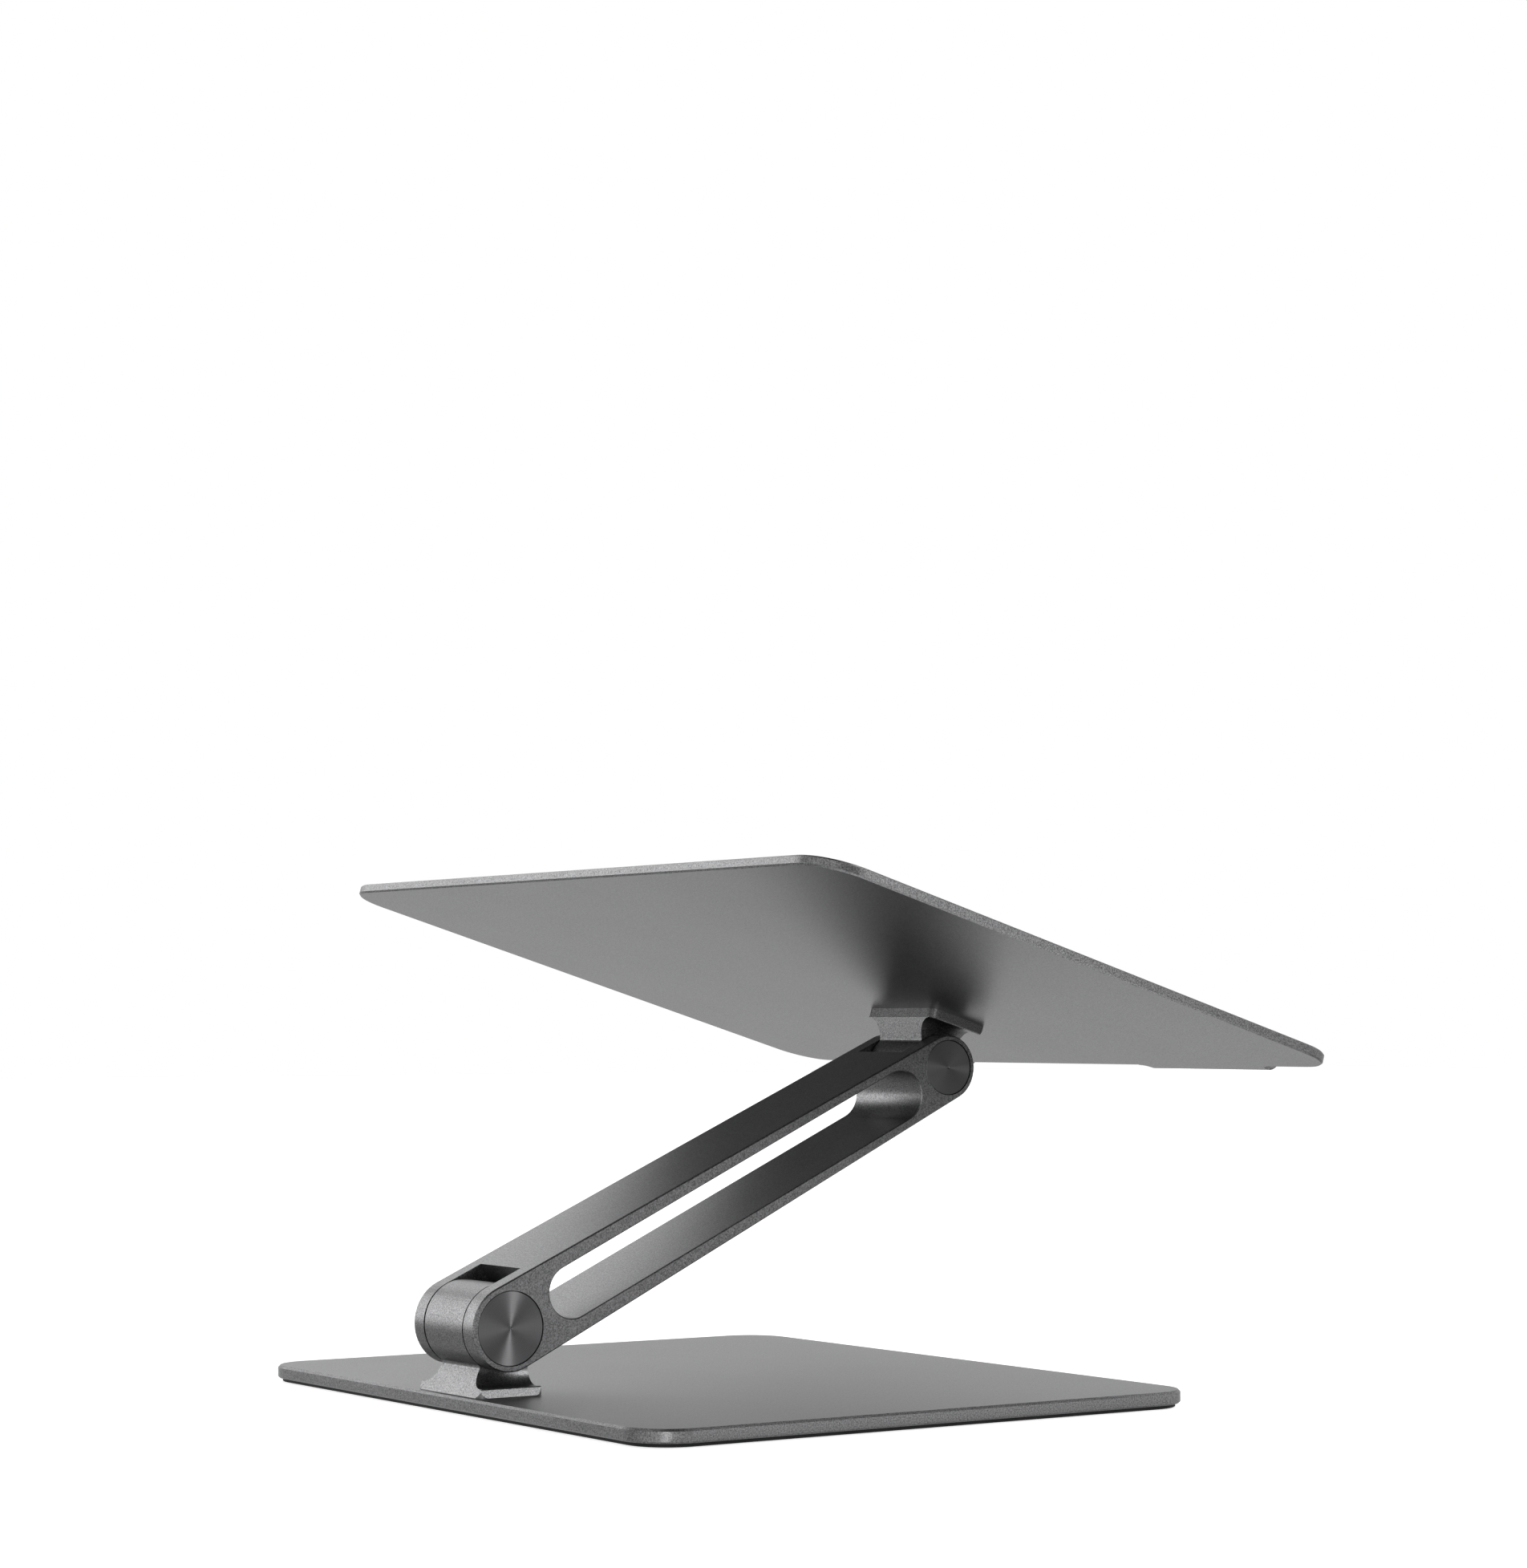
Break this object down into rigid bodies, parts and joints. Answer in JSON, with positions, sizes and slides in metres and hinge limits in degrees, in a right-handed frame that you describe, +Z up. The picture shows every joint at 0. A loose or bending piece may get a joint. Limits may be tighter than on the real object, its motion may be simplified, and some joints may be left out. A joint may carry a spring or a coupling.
{
  "type": "laptop stand",
  "caption": "Laptop stand with a flat base plate, a forked arm on friction hinges, and a tilting tray with front hooks.",
  "frame": {"origin": "on the floor under the middle of the base plate", "axes": "+Z up, -Y towards the user, +X to the user's right; +X is along both hinge axes"},
  "size_m": [0.2786, 0.2401, 0.1595],
  "materials": {
    "anodised_aluminium": "bead blasted and anodised dark grey, satin",
    "spun_aluminium": "circular spun face, anodised dark grey",
    "silicone": "matt",
    "steel": "machined, zinc plated",
    "bronze": "plain bearing bronze"
  },
  "bodies": {
    "base": {"base_plate": "anodised_aluminium", "base_mat": "silicone", "base_bracket": "anodised_aluminium", "base_screws": "steel", "low_bush": "bronze"},
    "arm": {"arm": "anodised_aluminium", "low_axle": "steel", "low_washers": "bronze", "low_springs": "steel", "low_nut": "steel", "low_cap_left": "spun_aluminium", "low_cap_right": "spun_aluminium", "up_axle": "steel", "up_washers": "bronze", "up_springs": "steel", "up_nut": "steel", "up_cap_left": "spun_aluminium", "up_cap_right": "spun_aluminium"},
    "tray": {"tray_bracket": "anodised_aluminium", "up_bush": "bronze", "tray_screws": "steel", "tray_plate": "anodised_aluminium", "tray_pad_left": "silicone", "tray_pad_right": "silicone", "tray_pad_middle": "silicone", "hook_pad_left": "silicone", "hook_pad_right": "silicone"}
  },
  "joints": [
    {"name": "arm_hinge", "type": "hinge", "parent": "base", "child": "arm", "pos_m": [0, 0.0826, 0.0247], "axis": [-1, 0, 0], "range_deg": [-25, 65]},
    {"name": "tray_hinge", "type": "hinge", "parent": "arm", "child": "tray", "pos_m": [0, -0.07782, 0.0995], "axis": [1, 0, 0], "range_deg": [-41.6, 58.4]}
  ]
}
